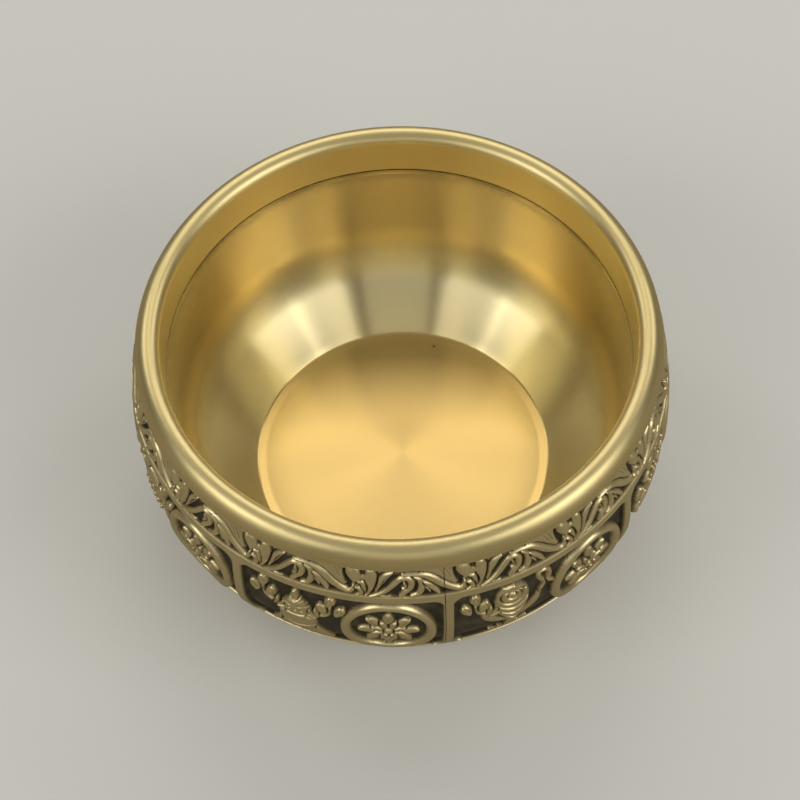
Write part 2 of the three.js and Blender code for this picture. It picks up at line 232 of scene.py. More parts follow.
inside = liner_curve(0, LINER_TOP, FLOOR_HEIGHT + FLOOR_FILLET * math.cos(CONE_LEAN), 30)
bead = []
for rise, lift in ((0.3, 0), (0.1, BEAD), (-0.1, BEAD), (-0.3, 0)):
    z = BEAD_HEIGHT + rise
    bead.append((BAND_FOOT_RADIUS - (LINER_TOP - z) * math.tan(WALL_LEAN) - lift, z))
inside[1:1] = bead
corner = Vector((FLOOR_RADIUS, FLOOR_HEIGHT))
fillet_start = Vector(inside[-1])
fillet_end = Vector((FLOOR_RADIUS - FLOOR_FILLET, FLOOR_HEIGHT))
fillet = [
    tuple(fillet_start * (1 - t) ** 2 + corner * (2 * t * (1 - t)) + fillet_end * t * t)
    for t in np.linspace(0, 1, 5)[1:]
]
floor_rings = [
    (FLOOR_RING + FLOOR_RING_HALF, FLOOR_HEIGHT),
    (FLOOR_RING, FLOOR_HEIGHT - FLOOR_RING_DEPTH),
    (FLOOR_RING - FLOOR_RING_HALF, FLOOR_HEIGHT),
]
floor_rings += [(r, FLOOR_HEIGHT) for r in (36, 28, 20, 12, 6, 2, 0)]
outside = liner_curve(LINER_WALL, LINER_TOP, LINER_BOTTOM, 14)[::-1]
liner_profile = [(0, LINER_BOTTOM)] + outside + inside + fillet + floor_rings
liner = turned("liner", liner_profile)
liner_brass = turned_brass(
    "liner_brass",
    pale=(0.82, 0.73, 0.46),
    deep=(0.78, 0.69, 0.42),
    roughness=0.23,
    spread=0.03,
    anisotropy=0.92,
    mark=0.3,
)
finish_piece(liner, "inner_bowl", liner_brass)


def paint_light_tone(material, field, low, high, tone, blend):
    """Paints light and shade into a material's base colour: a tone comes in as the field goes from low to
    high, in metres.
    """
    tree = material.node_tree
    share = add(tree, "ShaderNodeMapRange", interpolation_type="SMOOTHSTEP")
    share.inputs["From Min"].default_value = low
    share.inputs["From Max"].default_value = high
    tree.links.new(field, share.inputs["Value"])
    mix = add(tree, "ShaderNodeMix", data_type="RGBA", blend_type=blend)
    base = tree.nodes["Principled BSDF"].inputs["Base Color"]
    tree.links.new(share.outputs[0], mix.inputs[0])
    tree.links.new(base.links[0].from_socket, mix.inputs[6])
    mix.inputs[7].default_value = (*tone, 1)
    tree.links.new(mix.outputs[2], base)


# The floor gets a painted warm reflection, the wall just under the groove gets painted shade,
# and the one small casting pore near the floor's back edge is a painted dark dot: the shade in its pit.
# Tones of painted light: a warm reflection on the floor, shade under the groove and shade in the pore's pit.
FLOOR_PAINTED_REFLECTION = (0.88, 0.67, 0.30)
CREASE_PAINTED_SHADE = (0.62, 0.60, 0.56)
PORE_PAINTED_SHADE = (0.01, 0.008, 0.006)
PORE_PLACE = (11.5 * MM, 40.2 * MM, FLOOR_HEIGHT * MM)
liner_tree = liner_brass.node_tree
liner_place = add(liner_tree, "ShaderNodeTexCoord")
liner_height = add(liner_tree, "ShaderNodeSeparateXYZ")
liner_tree.links.new(liner_place.outputs["Object"], liner_height.inputs[0])
# Painted warm reflection on the floor, below about 8 mm.
paint_light_tone(liner_brass, liner_height.outputs[2], 8.2 * MM, 7.6 * MM, FLOOR_PAINTED_REFLECTION, "MIX")
# Painted shade on the wall just under the groove, from 63.2 to 65.2 mm.
paint_light_tone(liner_brass, liner_height.outputs[2], 63.2 * MM, 65.2 * MM, CREASE_PAINTED_SHADE, "MULTIPLY")
pore_reach = add(liner_tree, "ShaderNodeVectorMath", operation="DISTANCE")
pore_reach.inputs[1].default_value = PORE_PLACE
liner_tree.links.new(liner_place.outputs["Object"], pore_reach.inputs[0])
# Painted shade: a dark dot stands for the pit of the casting pore, which is not modelled.
paint_light_tone(liner_brass, pore_reach.outputs["Value"], 0.45 * MM, 0.3 * MM, PORE_PAINTED_SHADE, "MIX")

# Relief shells: two cast halves soldered along the upright seams. Rails and ribs stand at
# the full height and frame a scroll band and eight sunk bays, with dark patina in the
# grounds, painted shade in the narrow hollows of the scroll and the bays, and the high
# metal rubbed bright.
BELLY_SWELL = 3.9
BELLY_HEIGHT = 42.95
BELLY_RADIUS = SHOULDER_RADIUS + BELLY_SWELL
FOOT_HEIGHT = 6.0
LOWER_RADIUS = 60.8
RAIL_TOP = 62.1
PANEL_TOP = 59.5
PANEL_BOTTOM = 26.4
PANEL_DEPTH = 2.0
WALL = 2.0
FLANGE_HOLE = 52.1
FLANGE_THICKNESS = 2.2
BAND_DEPTH = 1.9
TOP_BORDER = 0.4
RIB_WIDTH = 2.6
CORNER_RADIUS = 3.5
SEAM_ANGLE = 7.4
SEAM_GAP = 0.22
BAYS = 8
BAY_ANGLE = 360 / BAYS
FIRST_RIB = 8.1
RIB_REACH = 4.6
RIB_STEP = 0.16
PLAIN_STEP = 0.8
HIDDEN_PATINA = 0.6


def belly(z):
    """The belly's radius at a height, both in mm."""
    z = np.asarray(z, float)
    above = (z - BELLY_HEIGHT) / (SHOULDER_HEIGHT - BELLY_HEIGHT)
    below = (BELLY_HEIGHT - z) / (BELLY_HEIGHT - FOOT_HEIGHT)
    return np.where(
        z > BELLY_HEIGHT,
        BELLY_RADIUS - BELLY_SWELL * above**2,
        BELLY_RADIUS - (BELLY_RADIUS - LOWER_RADIUS) * below**2,
    )


def ease(value, low, high):
    """Goes smoothly from 0 to 1 as the value goes from low to high."""
    t = np.clip((value - low) / (high - low), 0, 1)
    return t * t * (3 - 2 * t)


def bay_arc(angle):
    """Arc length in mm from the middle of the bay that the angle lies in."""
    turn = np.mod(angle - FIRST_RIB, BAY_ANGLE) - BAY_ANGLE / 2
    return np.radians(turn) * (BELLY_RADIUS - PANEL_DEPTH)


def shell_level(angle, z):
    """Height of the cast surface against the plain belly, in mm."""
    half_long = math.radians(BAY_ANGLE / 2) * (BELLY_RADIUS - PANEL_DEPTH) - RIB_WIDTH / 2
    half_high = (PANEL_TOP - PANEL_BOTTOM) / 2
    x = np.abs(bay_arc(angle)) - half_long + CORNER_RADIUS
    y = np.abs(z - BELLY_HEIGHT) - half_high + CORNER_RADIUS
    past_corner = np.hypot(np.maximum(x, 0), np.maximum(y, 0)) + np.minimum(np.maximum(x, y), 0)
    panel = ease(CORNER_RADIUS - past_corner, -0.12, 0.5) * PANEL_DEPTH
    over_rail = ease(z, RAIL_TOP - 0.1, RAIL_TOP + 0.35)
    at_border = ease(z, SHOULDER_HEIGHT - TOP_BORDER - 0.3, SHOULDER_HEIGHT - 0.3)
    return -np.maximum(panel, over_rail * (1 - at_border) * BAND_DEPTH)


def grid(columns, rows):
    """A grid of quads, and the place that each of its vertices has in the rows."""
    bm = bmesh.new()
    bmesh.ops.create_grid(bm, x_segments=columns - 1, y_segments=rows - 1, size=1)
    bm.verts.ensure_lookup_table()
    co = np.array([v.co[:] for v in bm.verts])
    order = np.lexsort((co[:, 0].round(6), co[:, 1].round(6)))
    place = np.empty(len(order), int)
    place[order] = np.arange(len(order))
    return bm, place


def on_bowl(angle, z, radius):
    """Points in metres, at an angle from the front in degrees, a height and a radius in mm."""
    turn = np.radians(angle)
    return np.stack((radius * np.sin(turn), -radius * np.cos(turn), z), axis=-1) * MM


def spread(parts):
    """Joined runs of evenly spaced values, each (first, last, step)."""
    runs = [np.linspace(a, b, max(2, int(round((b - a) / step)) + 1))[:-1] for a, b, step in parts]
    return np.concatenate(runs + [[parts[-1][1]]])


def relief_shell(name, side):
    """One half of the belly: its face from foot to shoulder, the wall behind and the flange
    that sits on the foot ring, with finer steps where the rails and ribs turn."""
    gap = math.degrees(SEAM_GAP / 2 / BELLY_RADIUS)
    first = SEAM_ANGLE + gap + (0 if side > 0 else 180)
    last = first + 180 - 2 * gap
    parts = []
    at = first
    ribs = [FIRST_RIB + k * BAY_ANGLE for k in range(-1, 2 * BAYS)]
    for rib in ribs:
        low = max(first, rib - RIB_REACH)
        high = min(last, rib + RIB_REACH)
        if low >= last or high <= at:
            continue
        if low > at:
            parts.append((at, low, PLAIN_STEP))
        parts.append((max(at, low), high, RIB_STEP))
        at = high
    if at < last:
        parts.append((at, last, PLAIN_STEP))
    angles = spread(parts)
    outer = spread(
        [
            (FOOT_HEIGHT, 22.6, 1.0),
            (22.6, 25.8, 0.4),
            (25.8, 30.8, 0.2),
            (30.8, 55.2, 1.2),
            (55.2, 60.0, 0.2),
            (60.0, 61.8, 0.6),
            (61.8, 62.6, 0.1),
            (62.6, 73.0, 2.0),
            (73.0, SHOULDER_HEIGHT, 0.1),
        ]
    )
    inner = np.linspace(SHOULDER_HEIGHT, FOOT_HEIGHT + FLANGE_THICKNESS, 14)
    A, Z = np.meshgrid(angles, outer)
    level = shell_level(A, Z)
    hidden = np.full_like(angles, HIDDEN_PATINA)
    flange = np.full_like(angles, FLANGE_HOLE)
    rows = [on_bowl(angles, np.full_like(angles, FOOT_HEIGHT), flange)]
    patina_and_shade = [hidden]
    for row in range(len(outer)):
        rows.append(on_bowl(A[row], Z[row], belly(Z[row]) + level[row]))
        patina_and_shade.append(ease(-level[row], 0.15, 1.2))
    for z in inner:
        radius = float(belly(z)) - PANEL_DEPTH - WALL
        rows.append(on_bowl(angles, np.full_like(angles, z), np.full_like(angles, radius)))
        patina_and_shade.append(hidden)
    rows.append(on_bowl(angles, np.full_like(angles, FOOT_HEIGHT + FLANGE_THICKNESS), flange))
    patina_and_shade.append(hidden)
    rows.append(rows[0])
    patina_and_shade.append(hidden)
    points = np.array(rows).reshape(-1, 3)
    shades = np.concatenate(patina_and_shade)
    bm, place = grid(len(angles), len(rows))
    layer = bm.verts.layers.float.new("patina_and_shade")
    for v, k in zip(bm.verts, place):
        v.co = points[k]
        v[layer] = shades[k]
    bmesh.ops.remove_doubles(bm, verts=bm.verts, dist=1e-7)
    bmesh.ops.holes_fill(bm, edges=[e for e in bm.edges if e.is_boundary], sides=0)
    bmesh.ops.recalc_face_normals(bm, faces=bm.faces)
    mesh = bpy.data.meshes.new(name)
    bm.to_mesh(mesh)
    bm.free()
    mesh.shade_smooth()
    mesh.set_sharp_from_angle(angle=math.radians(50))
    piece = bpy.data.objects.new(name, mesh)
    bpy.context.scene.collection.objects.link(piece)
    return piece


def patina_and_shade_brass(name):
    """Cast brass: the attribute darkens and dulls what lies low, as real patina on the sunk grounds and
    painted shade in narrow hollows, and grain breaks it up.
    """
    material = bpy.data.materials.new(name)
    material.use_nodes = True
    tree = material.node_tree
    link = tree.links.new
    shader = tree.nodes["Principled BSDF"]
    place = add(tree, "ShaderNodeTexCoord")
    low = add(tree, "ShaderNodeAttribute", attribute_name="patina_and_shade")
    grain = add(tree, "ShaderNodeTexNoise")
    grain.inputs["Scale"].default_value = 1300
    grain.inputs["Detail"].default_value = 5
    link(place.outputs["Object"], grain.inputs["Vector"])
    cloud = add(tree, "ShaderNodeTexNoise")
    cloud.inputs["Scale"].default_value = 160
    cloud.inputs["Detail"].default_value = 6
    link(place.outputs["Object"], cloud.inputs["Vector"])
    blotch = add(tree, "ShaderNodeMapRange")
    blotch.inputs["From Min"].default_value = 0.3
    blotch.inputs["From Max"].default_value = 0.7
    blotch.inputs["To Min"].default_value = -0.12
    blotch.inputs["To Max"].default_value = 0.1
    link(cloud.outputs["Fac"], blotch.inputs["Value"])
    amount = add(tree, "ShaderNodeMath", operation="ADD", use_clamp=True)
    link(low.outputs["Fac"], amount.inputs[0])
    link(blotch.outputs[0], amount.inputs[1])
    # The ramp runs from the high metal rubbed bright down to the darkest tone, which stands for patina and,
    # in narrow hollows, painted shade.
    tint = add(tree, "ShaderNodeValToRGB")
    ramp = tint.color_ramp
    ramp.elements[0].position = 0.0
    ramp.elements[0].color = (0.84, 0.73, 0.43, 1)
    ramp.elements[1].position = 1.0
    ramp.elements[1].color = (0.055, 0.047, 0.030, 1)
    middle = ramp.elements.new(0.4)
    middle.color = (0.42, 0.35, 0.19, 1)
    link(amount.outputs[0], tint.inputs[0])
    link(tint.outputs[0], shader.inputs["Base Color"])
    rough = add(tree, "ShaderNodeMapRange")
    rough.inputs["To Min"].default_value = 0.3
    rough.inputs["To Max"].default_value = 0.62
    link(amount.outputs[0], rough.inputs["Value"])
    link(rough.outputs[0], shader.inputs["Roughness"])
    metal = add(tree, "ShaderNodeMapRange")
    metal.inputs["To Min"].default_value = 0.9
    metal.inputs["To Max"].default_value = 0.35
    link(amount.outputs[0], metal.inputs["Value"])
    link(metal.outputs[0], shader.inputs["Metallic"])
    bump = add(tree, "ShaderNodeBump")
    bump.inputs["Strength"].default_value = 0.35
    bump.inputs["Distance"].default_value = 0.00006
    link(grain.outputs["Fac"], bump.inputs["Height"])
    link(bump.outputs[0], shader.inputs["Normal"])
    return material


relief_brass = patina_and_shade_brass("relief_brass")
relief_right = relief_shell("relief_right", 1)
finish_piece(relief_right, "relief_shell_right", relief_brass)
relief_left = relief_shell("relief_left", -1)
finish_piece(relief_left, "relief_shell_left", relief_brass)

# Scroll band: sixteen repeats of a leafy scroll round the bowl under the rim, cast in one
# with the shells and cut over by hand. A thick S-shaped stem ends in a pinwheel flower, and
# a thinner one climbs to a curl with hanging leaves.
PITCH = 0.1
STROKE_STEP = 0.12
SCROLLS = 16
SCROLL_HEIGHT = SHOULDER_HEIGHT - RAIL_TOP
PINWHEEL_ANGLE = -9.9
SCROLL_ANGLE = 360 / SCROLLS
SCROLL_LENGTH = 30.25
SCROLL_GROUND = -1.5


def canvas(x0, x1, y0, y1):
    """The evenly spaced points of a sheet, in mm. A sheet is these points and their levels."""
    return np.meshgrid(np.arange(x0, x1 + 1e-9, PITCH), np.arange(y0, y1 + 1e-9, PITCH))


def smooth_path(points):
    """A Catmull-Rom curve through (x, y, half width) points in mm."""
    pts = np.array([points[0], *points, points[-1]], float)
    runs = []
    for a, b, c, d in zip(pts, pts[1:], pts[2:], pts[3:]):
        steps = max(3, int(np.hypot(*(c - b)[:2]) / STROKE_STEP))
        t = np.linspace(0, 1, steps, endpoint=False)[:, None]
        bend = 2 * b + (c - a) * t + (2 * a - 5 * b + 4 * c - d) * t**2
        runs.append(0.5 * (bend + (3 * b - a - 3 * c + d) * t**3))
    path = np.vstack(runs + [pts[-1:]])
    path[:, 2] = np.maximum(path[:, 2], 0.05)
    return path


def window(sheet, low, high):
    """The part of a sheet between two corners."""
    X, Y, level = sheet
    c0, c1 = np.searchsorted(X[0], (low[0], high[0]))
    r0, r1 = np.searchsorted(Y[:, 0], (low[1], high[1]))
    return X[r0:r1, c0:c1], Y[r0:r1, c0:c1], level[r0:r1, c0:c1]


def lay(sheet, points, crest, floor, groove=0.32, slope=1.6):
    """Lays a round-backed stroke on the sheet, with a groove cut close along it. A stroke
    without a groove only adds to what is there."""
    path = smooth_path(points)
    reach = path[:, 2].max() + groove + 0.2
    X, Y, level = window(sheet, path[:, :2].min(axis=0) - reach, path[:, :2].max(axis=0) + reach)
    if not level.size:
        return
    away = np.hypot(X[..., None] - path[:, 0], Y[..., None] - path[:, 1])
    ratio = away / path[:, 2]
    width = path[:, 2][ratio.argmin(axis=2)]
    q = ratio.min(axis=2)
    gap = (away - path[:, 2]).min(axis=2)
    edge = np.maximum(floor, crest - slope * width)
    own = edge + (crest - edge) * np.sqrt(np.clip(1 - q * q, 0, 1))
    if groove == 0:
        level[:] = np.where(q < 1, np.maximum(level, own), level)
        return
    cut = np.minimum(level, np.maximum(floor, crest - 2.2 * width))
    level[:] = np.where(q < 1, own, np.where(gap < groove, cut, level))


def carve(sheet, points, depth):
    """Cuts a V groove along the points into what is there."""
    path = smooth_path(points)
    reach = path[:, 2].max() + 0.2
    X, Y, level = window(sheet, path[:, :2].min(axis=0) - reach, path[:, :2].max(axis=0) + reach)
    if not level.size:
        return
    ratio = (np.hypot(X[..., None] - path[:, 0], Y[..., None] - path[:, 1]) / path[:, 2]).min(axis=2)
    level[:] -= depth * np.clip(1 - ratio, 0, 1) ** 0.7


def blur(level, reach):
    """A box blur that repeats the edge values."""
    for axis in (0, 1):
        first = np.repeat(level.take([0], axis), reach + 1, axis)
        last = np.repeat(level.take([-1], axis), reach, axis)
        total = np.cumsum(np.concatenate([first, level, last], axis), axis)
        size = level.shape[axis]
        width = 2 * reach + 1
        level = (total.take(range(width, width + size), axis) - total.take(range(size), axis)) / width
    return level


# Each stroke, from the bottom one up: its points as (across from the pinwheel, up from the
# rail, half width), how far its crest stands against the rail, and the width of the groove
# along it. One without a groove melts into what lies below it.
scroll_strokes = {
    "web": (
        [(-17.5, 11.8, 1.0), (-12.0, 11.4, 2.4), (-7.8, 9.2, 3.6), (-5.9, 6.6, 2.4), (-4.4, 4.6, 1.4)],
        -0.4,
        0,
    ),
    "mound": ([(4.2, -1.0, 0.8), (7.4, -0.6, 1.1), (10.4, -1.0, 0.8)], -0.05, 0),
    "thick stem": (
        [(-18.3, 9.9, 0.3), (-15.5, 9.95, 0.55), (-12.4, 9.15, 1.1), (-10.0, 7.4, 1.4), (-7.7, 4.95, 1.4)]
        + [(-4.9, 2.75, 1.2), (-2.8, 1.8, 1.0), (-1.6, 2.7, 0.7), (-1.4, 4.6, 0.35)],
        0.25,
        0.12,
    ),
    "almond leaf": ([(4.7, 2.9, 0.35), (5.8, 5.95, 1.15), (7.4, 8.7, 1.2), (9.15, 10.4, 0.45)], 0.0, 0.24),
    "hanging leaf": (
        [(15.3, 8.5, 0.45), (16.7, 6.95, 1.0), (17.2, 4.2, 1.2), (16.3, 1.55, 0.95), (14.3, 0.7, 0.55)],
        0.05,
        0.24,
    ),
    "thin stem and curl": (
        [(2.9, 0.3, 0.3), (5.4, 1.4, 0.6), (7.8, 3.35, 0.85), (10.0, 6.1, 1.0), (11.5, 7.9, 1.0)]
        + [(13.1, 8.1, 1.05), (14.3, 6.6, 1.1), (14.1, 4.3, 1.1), (12.7, 2.5, 0.95), (11.6, 0.8, 0.85)],
        0.15,
        0.2,
    ),
    "lobe in the curl": ([(12.3, 6.2, 0.25), (12.75, 4.6, 0.4), (11.9, 3.9, 0.4)], 0.0, 0.2),
    "outer leaf": ([(17.7, 6.35, 0.3), (19.2, 4.65, 0.95), (20.7, 2.6, 0.95), (21.7, 1.1, 0.45)], 0.0, 0.24),
    "small leaf": ([(18.1, 3.85, 0.22), (19.0, 2.7, 0.5), (19.4, 1.6, 0.25)], -0.3, 0.24),
    "big petal": (
        [(3.2, 10.4, 1.5), (3.4, 8.1, 1.8), (3.0, 4.65, 1.6), (2.1, 1.75, 1.0), (1.8, 0.9, 0.3)],
        0.3,
        0.24,
    ),
    "bulb": ([(-2.4, 11.05, 1.3), (-1.55, 9.15, 2.2), (-0.75, 6.95, 1.4)], 0.4, 0.24),
    "bridge": ([(-0.9, 8.0, 1.2), (1.2, 7.6, 1.3), (3.2, 7.8, 1.4)], -0.35, 0),
    "middle petal": ([(-0.1, 6.2, 0.45), (0.95, 5.7, 0.85), (1.55, 3.95, 0.8), (1.7, 1.4, 0.35)], 0.1, 0.24),
    "low petal": ([(-0.7, 3.6, 0.45), (0.2, 2.95, 0.85), (0.7, 1.25, 0.75), (-0.8, 0.15, 0.4)], 0.05, 0.24),
}
# Each cut: its points in the same way, and its depth.
scroll_cuts = {
    "slit in the almond leaf": ([(6.0, 5.0, 0.12), (7.0, 7.2, 0.28), (8.3, 9.2, 0.15)], 1.0),
    "slot beside the bulb": ([(-4.0, 10.9, 0.38), (-4.0, 8.1, 0.5), (-3.3, 4.9, 0.42)], 0.9),
    "notch over the bridge": ([(0.9, 11.8, 0.6), (0.9, 10.4, 0.5), (0.8, 9.6, 0.3)], 0.9),
    "left vein of the petal": ([(3.1, 9.6, 0.12), (3.0, 7.0, 0.22), (2.4, 4.2, 0.15)], 0.4),
    "right vein of the petal": ([(4.2, 8.8, 0.12), (4.0, 6.6, 0.2), (3.3, 4.4, 0.12)], 0.35),
    "outer vein of the web": ([(-9.0, 11.4, 0.15), (-7.4, 9.4, 0.2), (-6.4, 7.4, 0.15)], 0.25),
    "inner vein of the web": ([(-7.2, 11.4, 0.15), (-6.0, 9.2, 0.2), (-5.2, 7.0, 0.15)], 0.25),
    "line under the stem": ([(-12.6, 6.6, 0.15), (-10.8, 4.8, 0.2), (-8.8, 2.6, 0.15)], 0.25),
}


def scroll_sheet():
    """The level of one repeat, on a sheet that carries on into the repeats beside it."""
    X, Y = canvas(-SCROLL_LENGTH, 2 * SCROLL_LENGTH, -0.6, SCROLL_HEIGHT + 0.2)
    level = SCROLL_GROUND + 0.6 * ease(Y, 7.0, 10.0)
    sheet = (X, Y, level)
    for points, crest, groove in scroll_strokes.values():
        for turn in range(-2, 3):
            moved = [(x + turn * SCROLL_LENGTH, y, w) for x, y, w in points]
            lay(sheet, moved, crest, SCROLL_GROUND, groove)
    for points, depth in scroll_cuts.values():
        for turn in range(-2, 3):
            moved = [(x + turn * SCROLL_LENGTH, y, w) for x, y, w in points]
            carve(sheet, moved, depth)
    return X, Y, blur(level, 1)


def sample(sheet, x, y):
    """Level at x, y between the sheet's points."""
    X, Y, level = sheet
    u = np.clip((x - X[0, 0]) / PITCH, 0, level.shape[1] - 1.001)
    v = np.clip((y - Y[0, 0]) / PITCH, 0, level.shape[0] - 1.001)
    i, j = v.astype(int), u.astype(int)
    a, b = v - i, u - j
    return (
        level[i, j] * (1 - a) * (1 - b)
        + level[i + 1, j] * a * (1 - b)
        + level[i, j + 1] * (1 - a) * b
        + level[i + 1, j + 1] * a * b
    )


def past_end(edge, low, high):
    """Whether an edge lies wholly under low or wholly over high."""
    heights = [v.co.z for v in edge.verts]
    return max(heights) < low or min(heights) > high


def relief_tile(name, angles, heights, level, patina_and_shade, back):
    """A closed tile of cast relief on the belly: its face follows the levels, its back is plain."""
    A, Z = np.meshgrid(angles, heights)
    points = on_bowl(A, Z, belly(Z) + level).reshape(-1, 3)
    shades = patina_and_shade.reshape(-1)
    bm, place = grid(len(angles), len(heights))
    layer = bm.verts.layers.float.new("patina_and_shade")
    for v, k in zip(bm.verts, place):
        v.co = points[k]
        v[layer] = shades[k]
    edges = [e for e in bm.edges if e.is_boundary]
    extruded = bmesh.ops.extrude_edge_only(bm, edges=edges)["geom"]
    back_verts = [v for v in extruded if isinstance(v, bmesh.types.BMVert)]
    for v in back_verts:
        flat = Vector((v.co.x, v.co.y, 0))
        v.co += flat.normalized() * ((float(belly(v.co.z / MM)) - back) * MM - flat.length)
    low = min(heights) * MM + 1e-6
    high = max(heights) * MM - 1e-6
    back_edges = [e for e in extruded if isinstance(e, bmesh.types.BMEdge) and e.is_boundary]
    bmesh.ops.bridge_loops(bm, edges=[e for e in back_edges if past_end(e, low, high)])
    bmesh.ops.holes_fill(bm, edges=[e for e in bm.edges if e.is_boundary], sides=0)
    bmesh.ops.recalc_face_normals(bm, faces=bm.faces)
    mesh = bpy.data.meshes.new(name)
    bm.to_mesh(mesh)
    bm.free()
    mesh.shade_smooth()
    mesh.set_sharp_from_angle(angle=math.radians(75))
    piece = bpy.data.objects.new(name, mesh)
    bpy.context.scene.collection.objects.link(piece)
    return piece


def scroll_band(name, side, sheet):
    """The scroll on one half of the belly, darker in its hollows with patina and painted shade."""
    gap = math.degrees(SEAM_GAP / 2 / BELLY_RADIUS)
    first = SEAM_ANGLE + gap + (0 if side > 0 else 180)
    angles = np.linspace(first, first + 180 - 2 * gap, 1200)
    heights = np.linspace(RAIL_TOP - 0.4, SHOULDER_HEIGHT - 0.05, 62)
    A, Z = np.meshgrid(angles, heights)
    across = np.mod(A - PINWHEEL_ANGLE, SCROLL_ANGLE) / SCROLL_ANGLE * SCROLL_LENGTH
    up = Z - RAIL_TOP
    level = sample(sheet, across, up)
    # The cavity, how far a point lies below its blurred surroundings, paints shade into the narrow hollows on
    # top of the patina of the low ground.
    cavity = sample((sheet[0], sheet[1], blur(sheet[2], 7) - sheet[2]), across, up)
    patina_and_shade = ease(-level + 1.9 * cavity, 0.3, 1.3)
    level = np.where(up < 0, np.minimum(level, -0.5), level)
    level = np.minimum(level, np.where(up > SCROLL_HEIGHT - 0.5, 0.05, 1.0))
    return relief_tile(name, angles, heights, level, patina_and_shade, BAND_DEPTH + 0.7)


scrolls = scroll_sheet()
scroll_right = scroll_band("scroll_right", 1, scrolls)
finish_piece(scroll_right, "relief_shell_right", relief_brass)
scroll_left = scroll_band("scroll_left", -1, scrolls)
finish_piece(scroll_left, "relief_shell_left", relief_brass)

# Bays: in each sunk bay stands one of the eight traditional good-luck signs and, beside it,
# a medallion: a raised oval ring round a sunk field with an eight-petal flower. All of it is
# cast in one with the shells.
SIGN_ANGLE = 13.5
MEDALLION_ANGLE = 32.7
MEDALLION_WIDTH = 27.0
MEDALLION_HEIGHT = 30.1
RING_WIDTH = 3.0
RING_RISE = 2.25
TILE_BASE = -2.35
BAY_LENGTH = math.radians(BAY_ANGLE) * (BELLY_RADIUS - PANEL_DEPTH)
PANEL_HEIGHT = PANEL_TOP - PANEL_BOTTOM
TILE_FLOOR = -2.0
TILE_THINNING = 2.5
PETALS = 8


def swell(sheet, centre, profile, crest, roundness=0.5, floor=TILE_FLOOR):
    """A form that is round from side to side, its half width given at heights down its middle."""
    heights = [p[0] for p in profile]
    widths = [p[1] for p in profile]
    reach = max(widths) + 1
    X, Y, level = window(sheet, (centre - reach, min(heights)), (centre + reach, max(heights)))
    half = np.interp(Y, heights, widths)
    q = np.abs(X - centre) / np.maximum(half, 0.01)
    own = floor + (crest - floor) * np.clip(1 - q * q, 0, 1) ** roundness
    level[:] = np.where(q < 1, own, level)


def stroke(sheet, points, crest=-0.3, groove=0.3):
    """A stroke that stands on the floor of the bay."""
    lay(sheet, points, crest, TILE_FLOOR, groove)


def turned_points(points, side, x, y):
    """The points moved to (x, y), and mirrored where side is 1."""
    return [(x - side * px, y + py, w) for px, py, w in points]


def beside(points, side):
    """The points to the right of the bay's sign, or to the left where side is -1."""
    return [(side * x, y, w) for x, y, w in points]


def bud_sprig(sheet, side, x, y):
    """Three round buds on a curled stem, with a three-finger leaf beside them, nearer the sign."""
    stem = [(4.4, -12.6, 0.4), (2.6, -12.4, 0.6), (0.6, -10.6, 0.6), (0.1, -7.4, 0.5), (0, -4.8, 0.3)]
    buds = [
        [(0.2, -4.9, 1.2), (0.0, -3.7, 1.75), (-0.2, -2.7, 1.2)],
        [(-1.9, -9.3, 1.1), (-2.7, -8.1, 1.8), (-3.1, -7.1, 1.2)],
        [(1.9, -9.1, 1.1), (2.6, -7.9, 1.75), (2.9, -6.9, 1.1)],
    ]
    leaf = [
        [(3.6, -13.4, 0.5), (4.3, -11.6, 0.8), (4.4, -9.8, 0.3)],
        [(4.4, -13.9, 0.5), (5.6, -12.6, 0.8), (6.2, -11.2, 0.3)],
        [(4.4, -14.6, 0.5), (5.9, -14.4, 0.8), (7.2, -13.6, 0.3)],
    ]
    stroke(sheet, turned_points(stem, side, x, y), -0.5)
    for points in leaf:
        stroke(sheet, turned_points(points, side, x, y), -0.45, 0.2)
    for points in buds:
        stroke(sheet, turned_points(points, side, x, y), 0.05)
        (low_x, low_y, _), (mid_x, mid_y, _), (top_x, top_y, _) = points
        curl = [(low_x + 0.5, low_y + 0.5, 0.2), (mid_x + 0.8, mid_y, 0.28)]
        curl += [(top_x, top_y + 0.5, 0.25), (mid_x - 0.5, mid_y + 0.3, 0.2)]
        carve(sheet, turned_points(curl, side, x, y), 0.7)


def ribbon_loop(sheet, side, x, y):
    """A folded ribbon: a loop that stands up beside a sign, with its tail hanging."""
    rise = [(0, -9.0, 0.3), (1.6, -7.6, 0.8), (3.6, -6.0, 0.9), (5.0, -3.4, 0.9), (5.0, -0.9, 0.7)]
    fold = [(5.2, -0.7, 0.5), (3.4, -0.6, 0.8), (2.0, -1.8, 0.8), (1.6, -3.8, 0.7), (2.4, -5.6, 0.4)]
    tail = [(3.6, -6.0, 0.4), (3.4, -8.4, 0.7), (4.6, -10.6, 0.5), (4.4, -12.4, 0.2)]
    for points, crest in ((rise, -0.4), (fold, -0.25), (tail, -0.6)):
        stroke(sheet, turned_points(points, side, x, y), crest)


def lotus_foot(sheet, y, half):
    """Five petals that a sign stands on."""
    for share in (-1, -0.5, 0.5, 1, 0):
        lean = share * half
        petal = [(lean * 0.35, y, 0.5), (lean * 0.75, y + 1.4, 1.0), (lean, y + 3.0, 0.25)]
        stroke(sheet, petal, -0.5 - 0.2 * abs(share), 0.2)


